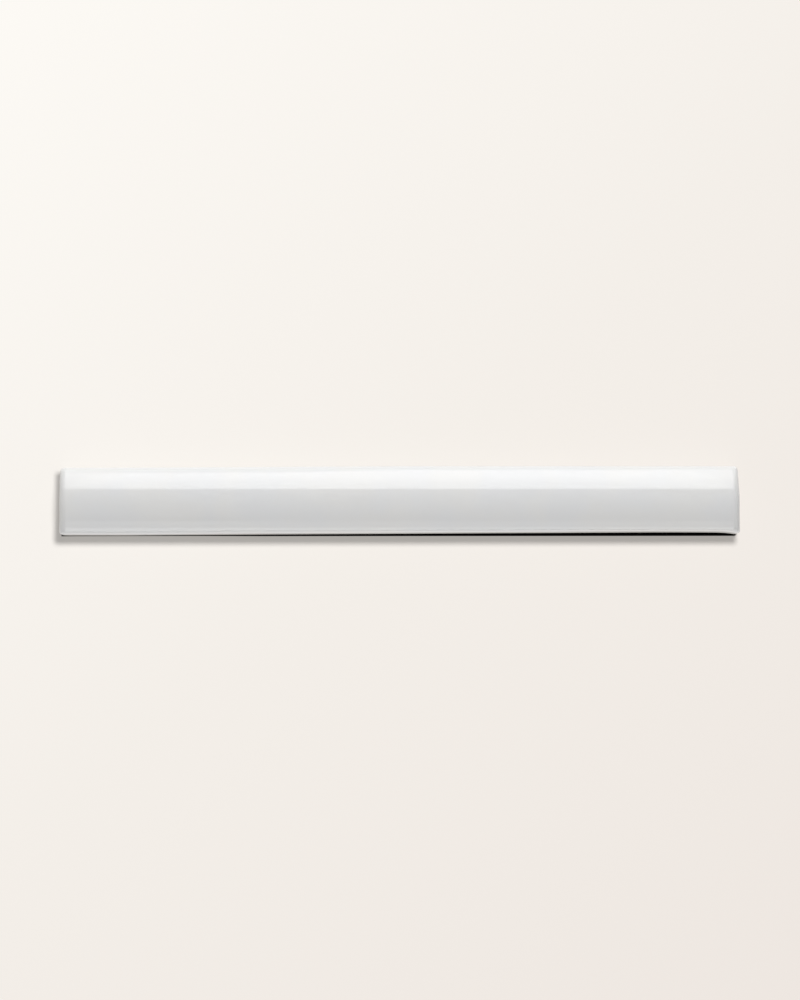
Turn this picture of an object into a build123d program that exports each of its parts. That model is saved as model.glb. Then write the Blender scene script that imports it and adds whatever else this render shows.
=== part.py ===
"""Ceramic bead moulding: one pressed and glazed trim tile with an arched face and rolled ends.

The piece lies on its flat back. X runs along its length, Y across its width and Z out of the back
towards the crown. The origin is the middle of the back. All sizes are in millimetres.
"""

import os
from math import cos, radians, sin

from build123d import *

# Overall sizes
length = 200.0
width = 20.0
thickness = 12.0

# Arched section: the crown arc springs from the shoulders, and an arris rounds each shoulder
shoulder_height = 8.0
arris_radius = 3.0

# Rolled ends: over the last stretch the crown drops, and near the corners the sides come in
end_roll = 2.4
end_drop = 2.2
end_nip = 1.05
roll_steps = 9

# Back: a small chamfer all round, and keying grooves for the adhesive
back_chamfer = 0.6
key_count = 3
key_width = 2.4
key_depth = 0.8
key_pitch = 5.4
key_draft = 15.0
key_end_margin = 9.0


def bead_section(along, nip, drop):
    """The bead's section at one place along X, nipped in at the sides and dropped at the crown."""
    half_width = width / 2 - nip
    shoulder = shoulder_height - drop
    with BuildSketch(Plane.YZ.offset(along)) as section:
        with BuildLine():
            Polyline((-half_width, shoulder), (-half_width, 0), (half_width, 0), (half_width, shoulder))
            ThreePointArc((half_width, shoulder), (0, thickness - drop), (-half_width, shoulder))
        make_face()
        fillet(section.vertices().group_by(Axis.Y)[-1], radius=arris_radius)
    return section.sketch


def rolled_section(step):
    """The section at one step of the roll, a quarter ellipse from the full bead to the end face."""
    turn = radians(90 * step / roll_steps)
    along = length / 2 - end_roll * (1 - sin(turn))
    taken_off = 1 - cos(turn)
    return bead_section(along, end_nip * taken_off**2, end_drop * taken_off)


with BuildPart() as bead_moulding:
    # Straight run of the bead, then one rolled end and its mirror image
    extrude(bead_section(0, 0, 0), amount=length / 2 - end_roll, both=True)
    loft([rolled_section(step) for step in range(roll_steps + 1)])
    mirror(about=Plane.YZ)

    # Chamfer round the back, where the glaze stops
    back = bead_moulding.faces().sort_by(Axis.Z)[0]
    chamfer(back.outer_wire().edges(), length=back_chamfer)

    # Keying grooves pressed into the back, stopped short of the ends
    with BuildSketch(Plane.XY):
        with GridLocations(0, key_pitch, 1, key_count):
            SlotOverall(length - 2 * key_end_margin, key_width)
    extrude(amount=key_depth, taper=key_draft, mode=Mode.SUBTRACT)

bead_moulding.part.label = "bead_moulding"

os.makedirs("parts", exist_ok=True)
export_step(bead_moulding.part, "parts/bead_moulding.step")
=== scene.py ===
"""A white glazed ceramic bead moulding, lying on its back on a pale floor under soft studio light."""

from math import asin, atan2, cos, hypot, pi, radians, sin, sqrt, tan

import bmesh
import bpy
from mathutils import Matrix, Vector


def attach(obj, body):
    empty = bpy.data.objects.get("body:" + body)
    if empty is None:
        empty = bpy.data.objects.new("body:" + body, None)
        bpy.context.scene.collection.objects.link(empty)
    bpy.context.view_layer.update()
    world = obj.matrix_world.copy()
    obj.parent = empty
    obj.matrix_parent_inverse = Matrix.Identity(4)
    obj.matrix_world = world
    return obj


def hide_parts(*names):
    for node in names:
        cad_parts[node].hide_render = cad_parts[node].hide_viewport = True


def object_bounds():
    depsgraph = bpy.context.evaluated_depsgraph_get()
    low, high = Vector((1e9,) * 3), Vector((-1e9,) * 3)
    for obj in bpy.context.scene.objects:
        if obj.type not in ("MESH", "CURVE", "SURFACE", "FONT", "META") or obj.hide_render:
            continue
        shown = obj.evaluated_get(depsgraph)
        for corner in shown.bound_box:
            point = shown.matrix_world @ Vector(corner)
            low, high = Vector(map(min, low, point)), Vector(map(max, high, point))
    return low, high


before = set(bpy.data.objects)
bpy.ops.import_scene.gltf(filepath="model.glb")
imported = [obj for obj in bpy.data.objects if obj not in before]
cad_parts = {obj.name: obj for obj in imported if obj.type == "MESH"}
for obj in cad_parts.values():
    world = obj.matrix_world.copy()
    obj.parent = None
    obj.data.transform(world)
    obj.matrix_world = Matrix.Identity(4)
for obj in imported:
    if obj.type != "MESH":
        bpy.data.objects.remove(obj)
cad_low, cad_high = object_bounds()

# Bead moulding
# One trim tile, dust-pressed from white-firing clay. Its arched face, arrises, sides and rolled ends
# carry a glossy white glaze. The back stays bare biscuit, so that tile adhesive keys to it.

MM = 0.001
length = cad_high.x - cad_low.x
half_width = (cad_high.y - cad_low.y) / 2
thickness = 12.0 * MM
shoulder_height = 8.0 * MM
arris_radius = 3.0 * MM
end_roll = 2.4 * MM
end_drop = 2.2 * MM
end_nip = 1.05 * MM
back_chamfer = 0.6 * MM
end_rim = 0.4 * MM
side_cuts = (1.3 * MM, 2.4 * MM, 4.0 * MM)

# The crown arc springs from the shoulders, and each arris arc touches the crown and the side
crown_rise = thickness - shoulder_height
crown_radius = (half_width**2 + crown_rise**2) / (2 * crown_rise)
crown_centre = thickness - crown_radius
arris_centre = half_width - arris_radius
side_height = crown_centre + sqrt((crown_radius - arris_radius) ** 2 - arris_centre**2)
crown_half_turn = asin(arris_centre / (crown_radius - arris_radius))
arris_turn = pi / 2 - crown_half_turn
crown_steps = 56
arris_steps = 24

straight = length - 2 * end_roll
run_cuts = 64
end_steps = 14
near = 0.001 * MM


def select(kind, chosen):
    """Select only the vertices, edges or faces of the mesh in edit mode that pass the test."""
    bpy.ops.mesh.select_mode(type=kind)
    bpy.ops.mesh.select_all(action="DESELECT")
    mesh = bmesh.from_edit_mesh(bpy.context.edit_object.data)
    for element in {"VERT": mesh.verts, "EDGE": mesh.edges, "FACE": mesh.faces}[kind]:
        if chosen(element):
            element.select_set(True)
    mesh.select_flush_mode()
    bmesh.update_edit_mesh(bpy.context.edit_object.data)


def extrude(x, y, z):
    """Extrude what is selected by this much."""
    bpy.ops.mesh.extrude_region_move(TRANSFORM_OT_translate={"value": (x, y, z)})


def spin_over(turn, steps, y, z):
    """Spin the selected edge over an axis along X, from the lower side of the bead to the upper."""
    bpy.ops.mesh.spin(steps=steps, angle=turn, center=(0, y, z), axis=(1, 0, 0))


def finish_with(piece, kind, **settings):
    """Give the piece a modifier and apply it."""
    bpy.ops.object.select_all(action="DESELECT")
    bpy.context.view_layer.objects.active = piece
    piece.select_set(True)
    modifier = piece.modifiers.new(kind.lower(), kind)
    for name, value in settings.items():
        setattr(modifier, name, value)
    bpy.ops.object.modifier_apply(modifier=modifier.name)


# Half of the straight run, from the back plane: chamfer, side, arris, crown, and down again
bpy.ops.object.select_all(action="DESELECT")
bpy.ops.mesh.primitive_plane_add(size=1, location=(0, 0, 0))
bead = bpy.context.object
bead.name = "glazed_bead"
bpy.ops.object.mode_set(mode="EDIT")
bpy.ops.transform.resize(value=(straight / 2, 2 * (half_width - back_chamfer), 1))
bpy.ops.transform.translate(value=(straight / 4, 0, 0))
select("VERT", lambda vertex: vertex.co.y < 0)
extrude(0, -back_chamfer, back_chamfer)
extrude(0, 0, side_height - back_chamfer)
spin_over(arris_turn, arris_steps, -arris_centre, side_height)
spin_over(2 * crown_half_turn, crown_steps, 0, crown_centre)
spin_over(arris_turn, arris_steps, arris_centre, side_height)
extrude(0, 0, back_chamfer - side_height)
extrude(0, -back_chamfer, -back_chamfer)
bpy.ops.mesh.select_all(action="SELECT")
bpy.ops.mesh.remove_doubles(threshold=near)
select("EDGE", lambda edge: edge.calc_length() > straight / 4)
bpy.ops.mesh.subdivide(number_cuts=run_cuts)

# Rolled end: the section is drawn out in steps of a quarter ellipse, dropped and nipped in at each,
# and over the last of them its foot rises along the chamfer of the back
along = straight / 2
nipped = half_width
dropped = 0
lifted = 0
foot = half_width - back_chamfer
select("VERT", lambda vertex: vertex.co.x > along - near)
for step in range(1, end_steps + 1):
    turn = pi / 2 * step / end_steps
    next_along = straight / 2 + end_roll * sin(turn)
    next_nipped = half_width - end_nip * (1 - cos(turn)) ** 2
    next_dropped = end_drop * (1 - cos(turn))
    next_lifted = max(0, back_chamfer - (length / 2 - next_along))
    next_foot = next_nipped - back_chamfer + next_lifted
    extrude(next_along - along, 0, 0)
    bpy.ops.transform.resize(value=(1, next_nipped / nipped, 1), center_override=(0, 0, 0))
    select("VERT", lambda vertex: vertex.co.x > next_along - near and vertex.co.z > side_height / 2)
    bpy.ops.transform.translate(value=(0, 0, dropped - next_dropped))
    select("VERT", lambda vertex: vertex.co.x > next_along - near and vertex.co.z < lifted + near)
    bpy.ops.transform.translate(value=(0, 0, next_lifted - lifted))
    foot *= next_nipped / nipped
    bpy.ops.transform.resize(value=(1, next_foot / foot, 1), center_override=(0, 0, 0))
    along = next_along
    nipped = next_nipped
    dropped = next_dropped
    lifted = next_lifted
    foot = next_foot
    select("VERT", lambda vertex: vertex.co.x > along - near)
bpy.ops.mesh.select_all(action="SELECT")
bpy.ops.mesh.remove_doubles(threshold=near)
select("VERT", lambda vertex: vertex.co.x > along - near)
bpy.ops.mesh.edge_face_add()
bpy.ops.mesh.inset(thickness=end_rim)
for cut in side_cuts:
    bpy.ops.mesh.select_all(action="SELECT")
    bpy.ops.mesh.bisect(plane_co=(0, 0, cut), plane_no=(0, 0, 1))
bpy.ops.object.mode_set(mode="OBJECT")
finish_with(bead, "MIRROR", merge_threshold=near)
bpy.ops.object.mode_set(mode="EDIT")
bpy.ops.mesh.select_all(action="SELECT")
bpy.ops.mesh.normals_make_consistent(inside=False)
bpy.ops.object.mode_set(mode="OBJECT")

# Keying grooves: a slot-shaped cutter with drafted walls, sunk into the bare back three times
key_count = 3
key_width = 2.4 * MM
key_depth = 0.8 * MM
key_pitch = 5.4 * MM
key_draft_angle = radians(15)
key_draft = key_depth * tan(key_draft_angle)
key_end_margin = 9.0 * MM
key_length = length - 2 * key_end_margin
key_sides = 24
key_wear = 0.12 * MM
key_rim_angle = radians(60)

bpy.ops.object.select_all(action="DESELECT")
bpy.ops.mesh.primitive_cylinder_add(
    vertices=key_sides, radius=key_width / 2, depth=2 * key_depth, rotation=(0, 0, pi / key_sides)
)
key_cutter = bpy.context.object
bpy.ops.object.transform_apply(rotation=True)
bpy.ops.object.mode_set(mode="EDIT")
for side in (-1, 1):
    select("VERT", lambda vertex: vertex.co.x * side > 0)
    bpy.ops.transform.translate(value=(side * (key_length - key_width) / 2, 0, 0))
    select("VERT", lambda vertex: vertex.co.z * side > 0)
    narrowed = 1 - side * 2 * key_draft / key_width
    shortened = 1 - side * 2 * key_draft / key_length
    bpy.ops.transform.resize(value=(shortened, narrowed, 1), center_override=(0, 0, 0))
bpy.ops.object.mode_set(mode="OBJECT")
for row in range(key_count):
    key_cutter.location.y = (row - (key_count - 1) / 2) * key_pitch
    finish_with(bead, "BOOLEAN", operation="DIFFERENCE", solver="EXACT", object=key_cutter)
bpy.data.objects.remove(key_cutter)

# The pressed edges of the grooves are a little worn
bpy.ops.object.mode_set(mode="EDIT")
select(
    "EDGE",
    lambda edge: edge.is_manifold
    and edge.calc_face_angle() > key_rim_angle
    and all(abs(vertex.co.z) < near for vertex in edge.verts),
)
bpy.ops.mesh.bevel(offset=key_wear, segments=2)
bpy.ops.mesh.select_all(action="SELECT")
bpy.ops.mesh.normals_make_consistent(inside=False)
bpy.ops.object.mode_set(mode="OBJECT")

# The poured glaze lies in very slow, shallow waves on everything above the back edge
glaze_foot = 1.16 * MM
wave_foot = 1.5 * glaze_foot
wave_length = 16 * MM
wave_height = 0.02 * MM
glazed_group = bead.vertex_groups.new(name="glazed")
above_foot = [vertex.index for vertex in bead.data.vertices if vertex.co.z > wave_foot]
glazed_group.add(above_foot, 1, "REPLACE")
glaze_waves = bpy.data.textures.new("glaze_waves", "CLOUDS")
glaze_waves.noise_scale = wave_length
finish_with(
    bead, "DISPLACE", texture=glaze_waves, texture_coords="LOCAL", vertex_group="glazed",
    strength=wave_height, mid_level=0.5,
)

# Firing has pulled the edges out of true. The lower one is drawn in, more and more towards the right
# end, and the upper one is drawn in at the left end and flares out from the middle on. Both ends
# stand out at the lower corner and lean in above it. A cage does it. Its outer rows move an edge by five
# sixths of their own move, and the row inside the lower edge by a sixth. That row gives way a little,
# so that the bright line on the arris stays close to the edge. The cage runs from -0.5 to 0.5.
cage_size = (64, 16, 2)
cage_grip = 5 / 6
end_row = 0.5 - 0.5 / (cage_size[0] - 1)
edge_row = 0.5 - 0.5 / (cage_size[1] - 1)
second_row = 0.5 - 1.5 / (cage_size[1] - 1)
drawn_span = (-80 * MM, 76 * MM)
drawn_in = (0.10 * MM, 1.03 * MM)
drawn_power = 0.83
drawn_second_row = -0.05
drawn_grip = cage_grip + (1 - cage_grip) * drawn_second_row
relaxed_span = (84 * MM, 98 * MM)
relaxed_by = (0, 0.05 * MM)
flared_span = (-100 * MM, 20 * MM)
flared_out = (-0.12 * MM, 0.33 * MM)
corner_start = 93.5 * MM
corner_span = 6.5 * MM
corner_ease = 0.72
left_corner = ((-12 * MM, -4 * MM), (0.40 * MM, -0.16 * MM))
left_lean = ((3 * MM, 6 * MM), (0, 0.10 * MM))
right_corner = ((-12 * MM, -2.5 * MM), (0.52 * MM, -0.04 * MM))
right_lean = ((0.5 * MM, 4.5 * MM), (0, -0.12 * MM))
crease = radians(30)


def share_of(place, span):
    """How far a place lies along a span, from 0 before it to 1 after it."""
    return min(1, max(0, (place - span[0]) / (span[1] - span[0])))


def moved_between(place, span, moves):
    """How far an edge is moved at one place along it, easing from the first move to the second."""
    share = share_of(place, span)
    return moves[0] + (moves[1] - moves[0]) * share**2 * (3 - 2 * share)


def drawn_at(station):
    """How far the lower edge is drawn in at one place along the bead, and less at the right corner."""
    drawn = drawn_in[0] + (drawn_in[1] - drawn_in[0]) * share_of(station, drawn_span) ** drawn_power
    drawn -= moved_between(station, relaxed_span, relaxed_by)
    return drawn * (1 - corner_ease * max(0, (station - corner_start) / corner_span) ** 4)


bpy.ops.object.select_all(action="DESELECT")
bpy.ops.object.add(type="LATTICE", location=(0, 0, thickness / 2))
cage = bpy.context.object
cage.scale = (length, 2 * half_width, thickness)
cage.data.points_u, cage.data.points_v, cage.data.points_w = cage_size
bpy.context.view_layer.update()
for point in cage.data.points:
    station = point.co.x * length
    across = point.co.y * 2 * half_width
    moved = 0
    if point.co.y < -edge_row:
        moved = drawn_at(station) / drawn_grip
    elif point.co.y < -second_row:
        moved = drawn_second_row * drawn_at(station) / drawn_grip
    elif point.co.y > edge_row:
        moved = moved_between(station, flared_span, flared_out) / cage_grip
    point.co_deform.y += moved / (2 * half_width)
    if point.co.x < -end_row:
        stands_out = moved_between(across, *left_corner) + moved_between(across, *left_lean)
        point.co_deform.x -= stands_out / cage_grip / length
    if point.co.x > end_row:
        stands_out = moved_between(across, *right_corner) + moved_between(across, *right_lean)
        point.co_deform.x += stands_out / cage_grip / length
finish_with(bead, "LATTICE", object=cage)
bpy.data.objects.remove(cage)
bpy.ops.object.select_all(action="DESELECT")
bead.select_set(True)
bpy.ops.object.shade_smooth_by_angle(angle=crease)


def tone(red, green, blue):
    """A colour given as it looks on a screen, from 0 to 255, as Blender's linear colour."""
    return tuple(((part / 255 + 0.055) / 1.055) ** 2.4 for part in (red, green, blue)) + (1.0,)


def node(tree, kind, sockets=None, **settings):
    """A new shader node, with its settings, and its sockets set to values or linked to outputs."""
    made = tree.nodes.new(kind)
    for name, value in settings.items():
        setattr(made, name, value)
    for name, value in (sockets or {}).items():
        if isinstance(value, bpy.types.NodeSocket):
            tree.links.new(value, made.inputs[name])
        else:
            made.inputs[name].default_value = value
    return made


def sum_of(tree, operation, first, second):
    """The result of one sum on two values or outputs."""
    return node(tree, "ShaderNodeMath", {0: first, 1: second}, operation=operation).outputs[0]


def blend_of(tree, share, first, second):
    """A colour between two colours or outputs, by a share that varies over the surface."""
    mixed = node(tree, "ShaderNodeMix", {0: share, 6: first, 7: second}, data_type="RGBA")
    return mixed.outputs[2]


def spread(tree, value, low, high, to_low, to_high):
    """A value eased from one range to another, and held at the ends."""
    eased = node(
        tree,
        "ShaderNodeMapRange",
        {"Value": value, "From Min": low, "From Max": high, "To Min": to_low, "To Max": to_high},
        interpolation_type="SMOOTHSTEP",
    )
    return eased.outputs["Result"]


# White glaze over biscuit: the glaze runs down the sides and stops in a wavy lip above the back,
# which stays higher than the grooves are deep, so that they're bare too
glaze_white = tone(231, 231, 230)
glaze_pooled = tone(229, 230, 231)
glaze_thin = tone(226, 222, 214)
biscuit_light = tone(224, 218, 208)
biscuit_dark = tone(211, 203, 191)
biscuit_speck = tone(178, 164, 146)
glaze_gloss = (0.045, 0.075)
glaze_ior = 1.52
biscuit_matt = 0.86
glaze_lip = 0.08 * MM
lip_width = 0.10 * MM
lip_wave = 0.27 * MM
thin_height = 0.9 * MM
thin_share = 0.75
speck_share = 0.55
noise_middle = (0.3, 0.7)
pool_edge = (0.35, 0.65)
speck_edge = (0.08, 0.16)

fired = bpy.data.materials.new("white_glaze_over_biscuit")
fired.use_nodes = True
tree = fired.node_tree
shader = tree.nodes["Principled BSDF"]
place = node(tree, "ShaderNodeTexCoord").outputs["Object"]
height = node(tree, "ShaderNodeSeparateXYZ", {"Vector": place}).outputs["Z"]

runs = node(tree, "ShaderNodeTexNoise", {"Vector": place, "Scale": 170, "Detail": 3}).outputs["Fac"]
stop = spread(tree, runs, *noise_middle, glaze_foot - lip_wave, glaze_foot + lip_wave)
above = sum_of(tree, "SUBTRACT", height, stop)
glazed = spread(tree, above, -lip_width / 2, lip_width / 2, 0, 1)

clouds = node(tree, "ShaderNodeTexNoise", {"Vector": place, "Scale": 65, "Detail": 2}).outputs["Fac"]
pooled = spread(tree, clouds, *pool_edge, 0, 1)
thin = spread(tree, above, 0, thin_height, thin_share, 0)
glaze_colour = blend_of(tree, thin, blend_of(tree, pooled, glaze_white, glaze_pooled), glaze_thin)

patches = node(tree, "ShaderNodeTexNoise", {"Vector": place, "Scale": 240, "Detail": 5}).outputs["Fac"]
grains = node(tree, "ShaderNodeTexNoise", {"Vector": place, "Scale": 2600, "Detail": 3}).outputs["Fac"]
cells = node(tree, "ShaderNodeTexVoronoi", {"Vector": place, "Scale": 900}).outputs["Distance"]
clay = blend_of(tree, spread(tree, patches, *noise_middle, 0, 1), biscuit_light, biscuit_dark)
clay = blend_of(tree, spread(tree, cells, *speck_edge, speck_share, 0), clay, biscuit_speck)
colour = blend_of(tree, glazed, clay, glaze_colour)
tree.links.new(colour, shader.inputs["Base Color"])

gloss = spread(tree, clouds, *noise_middle, *glaze_gloss)
roughness = node(tree, "ShaderNodeMix", {0: glazed, 2: biscuit_matt, 3: gloss}).outputs[0]
tree.links.new(roughness, shader.inputs["Roughness"])

# Relief in metres: the glaze's lip and faint orange peel, rare pinholes, and the clay's grain and pits
peel_height = 0.0012 * MM
pinhole_depth = 0.02 * MM
pinhole_edge = (0.012, 0.03)
grain_height = 0.05 * MM
pit_depth = 0.04 * MM
pit_edge = (0.05, 0.2)

peel = node(tree, "ShaderNodeTexNoise", {"Vector": place, "Scale": 520, "Detail": 1}).outputs["Fac"]
pins = node(tree, "ShaderNodeTexVoronoi", {"Vector": place, "Scale": 260}).outputs["Distance"]
pinholes = spread(tree, pins, *pinhole_edge, -pinhole_depth, 0)
smooth_relief = sum_of(tree, "ADD", sum_of(tree, "MULTIPLY", peel, peel_height), pinholes)
smooth_relief = sum_of(tree, "ADD", smooth_relief, glaze_lip)
clay_relief = sum_of(tree, "MULTIPLY", grains, grain_height)
clay_relief = sum_of(tree, "ADD", clay_relief, spread(tree, cells, *pit_edge, -pit_depth, 0))
relief = node(tree, "ShaderNodeMix", {0: glazed, 2: clay_relief, 3: smooth_relief}).outputs[0]
bumped = node(tree, "ShaderNodeBump", {"Height": relief, "Strength": 1.0, "Distance": 1.0})
tree.links.new(bumped.outputs["Normal"], shader.inputs["Normal"])
shader.inputs["IOR"].default_value = glaze_ior
bead.data.materials.clear()
bead.data.materials.append(fired)

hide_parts("bead_moulding")
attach(bead, "root")

# Floor
# A pale, warm sheet that runs past the view on every side, a little brighter at the upper left.
# Part of its brightness is its own, so that it stays as pale as it is beside the piece.
floor_size = 4.0
floor_drop = 0.05 * MM
floor_paint = 0.15
floor_glow = 0.395
paper_light = tone(254, 251, 246)
paper_middle = tone(245, 240, 234)
paper_dark = tone(239, 232, 226)
view_width = 235.65 * MM
view_height = 1.25 * view_width

# Its tone fades by these shares of the way from light to dark across the view and down it
fade_across = 0.42
fade_down = 0.58
slope = (fade_across / view_width, -fade_down / view_height)

bpy.ops.object.select_all(action="DESELECT")
bpy.ops.mesh.primitive_plane_add(size=floor_size, location=(0, 0, 0))
floor = bpy.context.object
floor.name = "floor"
bpy.ops.object.mode_set(mode="EDIT")
bpy.ops.transform.translate(value=(0, 0, -floor_drop))
bpy.ops.object.mode_set(mode="OBJECT")

floor_paper = bpy.data.materials.new("pale_floor")
floor_paper.use_nodes = True
tree = floor_paper.node_tree
tree.nodes.clear()
place = node(tree, "ShaderNodeTexCoord").outputs["Object"]
across = node(tree, "ShaderNodeMapping", {"Vector": place, "Location": (0.5, 0, 0)})
across.inputs["Rotation"].default_value = (0, 0, -atan2(slope[1], slope[0]))
across.inputs["Scale"].default_value = (hypot(*slope), hypot(*slope), 1)
fade = node(tree, "ShaderNodeTexGradient", {"Vector": across.outputs["Vector"]})
paper_ramp = node(tree, "ShaderNodeValToRGB", {"Fac": fade.outputs["Fac"]})
paper_ramp.color_ramp.elements[0].color = paper_light
paper_ramp.color_ramp.elements[1].color = paper_dark
paper_ramp.color_ramp.elements.new(0.5).color = paper_middle
paper = paper_ramp.outputs["Color"]


def background_rays(tree):
    """One where the camera, a reflection or a refraction looks, and nothing where light bounces."""
    path = node(tree, "ShaderNodeLightPath").outputs
    seen = sum_of(tree, "MAXIMUM", path["Is Camera Ray"], path["Is Glossy Ray"])
    return sum_of(tree, "MAXIMUM", seen, path["Is Transmission Ray"])


glow = sum_of(tree, "MULTIPLY", background_rays(tree), floor_glow)
painted = blend_of(tree, floor_paint, (0, 0, 0, 1), paper)
matt = node(tree, "ShaderNodeBsdfDiffuse", {"Color": painted}).outputs["BSDF"]
glowing = node(tree, "ShaderNodeEmission", {"Color": paper, "Strength": glow}).outputs["Emission"]
both = node(tree, "ShaderNodeAddShader", {0: matt, 1: glowing}).outputs["Shader"]
node(tree, "ShaderNodeOutputMaterial", {"Surface": both})
floor.data.materials.append(floor_paper)

# Painted shadow strip
# A narrow black strip on the floor is painted shadow: the lower edge is drawn in, but the shade
# beyond it ends in a nearly straight line. It shows as a thin line at the left and as a broader one
# at the right, where its corner is round. Nothing reflects it, and no light bounces off it.
painted_shadow_line = (
    (-100.15 * MM, -10.13 * MM),
    (-96 * MM, -10.08 * MM),
    (-78 * MM, -10.04 * MM),
    (-59 * MM, -10.01 * MM),
    (-41 * MM, -10.08 * MM),
    (40 * MM, -10.03 * MM),
    (99.85 * MM, -9.98 * MM),
)
painted_shadow_high = -7.1 * MM
painted_shadow_corner = 0.7 * MM

bpy.ops.object.select_all(action="DESELECT")
bpy.ops.mesh.primitive_plane_add(size=1, location=(0, 0, 0))
painted_shadow_strip = bpy.context.object
painted_shadow_strip.name = "painted_contact_shadow"
bpy.ops.object.mode_set(mode="EDIT")
painted_shadow_width = painted_shadow_line[1][0] - painted_shadow_line[0][0]
bpy.ops.transform.resize(value=(painted_shadow_width, painted_shadow_high - painted_shadow_line[0][1], 1))
bpy.ops.transform.translate(
    value=(painted_shadow_line[0][0] + painted_shadow_width / 2, (painted_shadow_high + painted_shadow_line[0][1]) / 2, -floor_drop / 2)
)
select("VERT", lambda vertex: vertex.co.x > painted_shadow_line[1][0] - near and vertex.co.y < painted_shadow_high - near)
bpy.ops.transform.translate(value=(0, painted_shadow_line[1][1] - painted_shadow_line[0][1], 0))
for (last_station, last_low), (station, low) in zip(painted_shadow_line[1:], painted_shadow_line[2:]):
    select("EDGE", lambda edge: all(vertex.co.x > last_station - near for vertex in edge.verts))
    extrude(station - last_station, 0, 0)
    select("VERT", lambda vertex: vertex.co.x > station - near and vertex.co.y < painted_shadow_high - near)
    bpy.ops.transform.translate(value=(0, low - last_low, 0))
bpy.ops.mesh.bevel(offset=painted_shadow_corner, segments=5, affect="VERTICES")
bpy.ops.object.mode_set(mode="OBJECT")
painted_shadow_strip.visible_diffuse = False
painted_shadow_strip.visible_glossy = False

# Near-black paint for the painted shadow strip; the unseen flag carries it too
shade = bpy.data.materials.new("painted_contact_shadow")
shade.use_nodes = True
shade_shader = shade.node_tree.nodes["Principled BSDF"]
shade_shader.inputs["Base Color"].default_value = tone(14, 12, 12)
shade_shader.inputs["Roughness"].default_value = 1.0
shade_shader.inputs["Specular IOR Level"].default_value = 0.0
painted_shadow_strip.data.materials.append(shade)

# Flag
# Two cards over the drawn-in lower edge and the left end, out of the camera's sight and of every
# reflection. They only keep the edges of the shadow on the floor as straight as they are in the
# photograph, where it leans out a little at the lower left and has a round corner there.
flag_left = -100.2 * MM
flag_right = 101.45 * MM
flag_low = -9.85 * MM
flag_slant = (-0.36 * MM, -0.18 * MM)
flag_corner = 1.0 * MM
flag_depth = 2.5 * MM
flag_height = 7.5 * MM
card_high = 11.2 * MM

bpy.ops.object.select_all(action="DESELECT")
bpy.ops.mesh.primitive_plane_add(size=1, location=(0, 0, 0))
flag = bpy.context.object
flag.name = "shadow_flag"
bpy.ops.object.mode_set(mode="EDIT")
bpy.ops.transform.resize(value=(flag_right - flag_left, flag_depth, 1))
bpy.ops.transform.translate(
    value=((flag_right + flag_left) / 2, flag_low + flag_depth / 2, flag_height)
)
bpy.ops.mesh.select_all(action="DESELECT")
bpy.ops.mesh.primitive_plane_add(size=1, location=(0, 0, 0))
card_low = flag_low + flag_depth
bpy.ops.transform.resize(value=(flag_depth, card_high - card_low, 1))
bpy.ops.transform.translate(
    value=(flag_left + flag_depth / 2, (card_high + card_low) / 2, flag_height)
)
select("VERT", lambda vertex: vertex.co.x < flag_left + near and vertex.co.y < 0)
bpy.ops.transform.translate(value=(*flag_slant, 0))
select("VERT", lambda vertex: vertex.co.x < flag_left and vertex.co.y < flag_low - near)
bpy.ops.mesh.bevel(offset=flag_corner, segments=3, affect="VERTICES")
bpy.ops.object.mode_set(mode="OBJECT")
flag.visible_camera = False
flag.visible_diffuse = False
flag.visible_glossy = False
flag.visible_transmission = False
flag.data.materials.append(shade)

# Light
# A softbox behind the piece draws the highlight along the upper half of the face. Its core makes the
# middle of the highlight the brightest, and its apron carries it down to the upper edge. Two strips
# in front light the lower half and the rim, and a foot below them the rim near the right end. The
# lamps light the piece alone, and the floor doesn't block their lower ends. A lamp overhead lays the
# shadow on the floor.
ambient = 0.292
backdrop = paper_middle
softbox_top = (0.386, 0.687)
softbox_foot = (0.91, 0.31)
apron_foot = (0.95, -0.10)
strip_foot = (-0.92, -0.10)

world = bpy.data.worlds.new("studio")
bpy.context.scene.world = world
world.use_nodes = True
tree = world.node_tree
room = blend_of(tree, background_rays(tree), (ambient, ambient, ambient, 1), backdrop)
tree.links.new(room, tree.nodes["Background"].inputs["Color"])

object_only = bpy.data.collections.new("object_only")
object_only.objects.link(bead)
floor_only = bpy.data.collections.new("floor_only")
floor_only.objects.link(floor)
floor_only.objects.link(painted_shadow_strip)


def area_lamp(name, upper, lower, half_length, radiance, station=0):
    """A long lamp along X, in metres, whose section runs from one point (y, z) to another."""
    lamp = bpy.data.lights.new(name, "AREA")
    lamp.shape = "RECTANGLE"
    run = Vector(lower) - Vector(upper)
    middle = (Vector(upper) + Vector(lower)) / 2
    lamp.size = 2 * half_length
    lamp.size_y = run.length
    lamp.energy = radiance * pi * lamp.size * lamp.size_y
    holder = bpy.data.objects.new(name, lamp)
    bpy.context.scene.collection.objects.link(holder)
    holder.location = (station, middle.x, middle.y)
    holder.rotation_euler = (atan2(run.y, run.x), 0, 0)
    if middle.x < 0:
        holder.rotation_euler.x = atan2(-run.y, -run.x)
    holder.visible_camera = False
    holder.light_linking.receiver_collection = object_only
    holder.light_linking.blocker_collection = object_only


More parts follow.
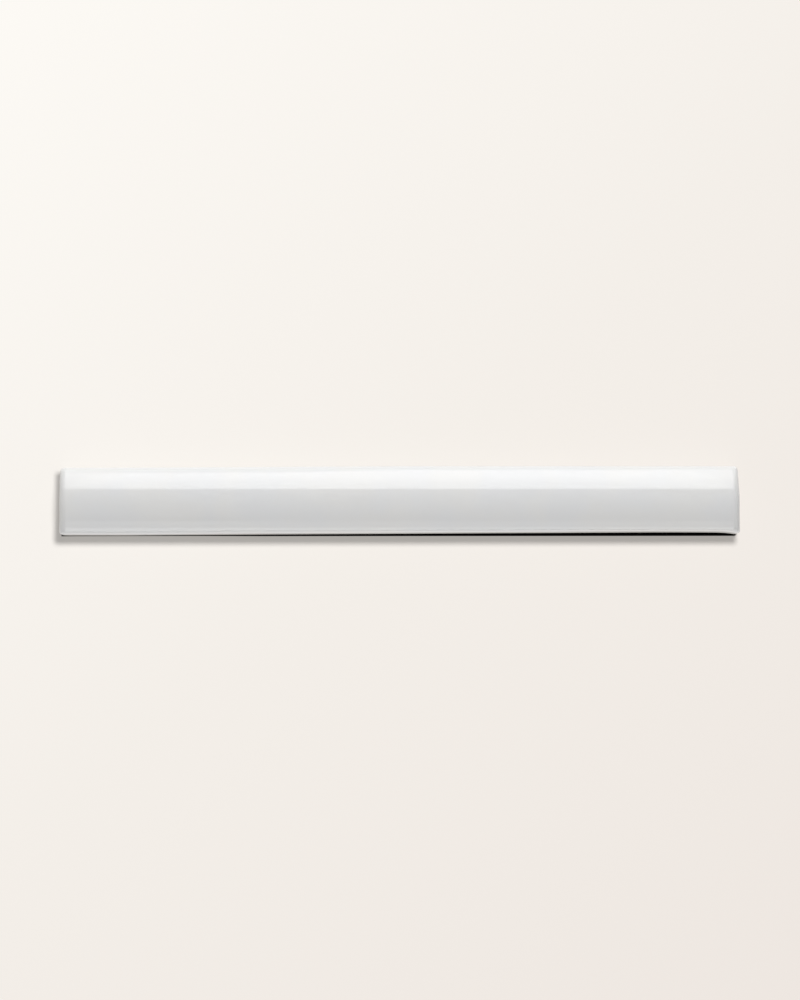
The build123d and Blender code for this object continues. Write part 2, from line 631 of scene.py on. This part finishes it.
area_lamp("softbox", softbox_top, softbox_foot, half_length=0.60, radiance=2.27)
area_lamp("softbox_core", softbox_top, softbox_foot, half_length=0.17, radiance=0.85)
area_lamp("softbox_apron", softbox_foot, apron_foot, half_length=0.60, radiance=1.0)
area_lamp("front_strip_high", (-0.66, 0.62), (-0.80, 0.42), half_length=0.40, radiance=0.92)
area_lamp("front_strip_low", (-0.82, 0.40), strip_foot, half_length=0.40, radiance=2.27)
area_lamp("front_strip_foot", strip_foot, (-0.98, -0.40), half_length=0.20, radiance=2.2, station=0.31)

# A square lamp beyond the right end, below the floor, stands in for what a bright floor sends up there
bounce_place = Vector((0.55, 0.75, -0.35))
bounce_side = 0.5
bounce_radiance = 2.1
bounce_lamp = bpy.data.lights.new("floor_bounce", "AREA")
bounce_lamp.shape = "SQUARE"
bounce_lamp.size = bounce_side
bounce_lamp.energy = bounce_radiance * pi * bounce_side**2
bounce = bpy.data.objects.new("floor_bounce", bounce_lamp)
bpy.context.scene.collection.objects.link(bounce)
bounce.location = bounce_place
bounce.rotation_euler = bounce_place.to_track_quat("Z", "Y").to_euler()
bounce.visible_camera = False
bounce.visible_glossy = False
bounce.light_linking.receiver_collection = object_only
bounce.light_linking.blocker_collection = object_only

sun_radiance = 3.94
sun_place = Vector((0.23, 0.33, 1))
sun = bpy.data.lights.new("overhead", "SUN")
sun.energy = sun_radiance * pi
sun.angle = radians(14.5)
overhead = bpy.data.objects.new("overhead", sun)
bpy.context.scene.collection.objects.link(overhead)
overhead.rotation_euler = sun_place.to_track_quat("Z", "Y").to_euler()
overhead.light_linking.receiver_collection = floor_only

# Camera
# It looks down on the piece from a metre away, three degrees off square.
camera_distance = 1.0
camera_tilt = radians(3)
sensor_width = 36
camera_data = bpy.data.cameras.new("camera")
camera_data.sensor_fit = "HORIZONTAL"
camera_data.sensor_width = sensor_width
camera_data.lens = sensor_width * camera_distance / view_width
camera = bpy.data.objects.new("camera", camera_data)
bpy.context.scene.collection.objects.link(camera)
aim = Vector((0.2 * MM, 0.3 * MM, 7.0 * MM))
camera.location = aim + camera_distance * Vector((0, -sin(camera_tilt), cos(camera_tilt)))
camera.rotation_euler = (camera_tilt, 0, 0)
bpy.context.scene.camera = camera

bpy.context.scene.view_settings.view_transform = "Standard"
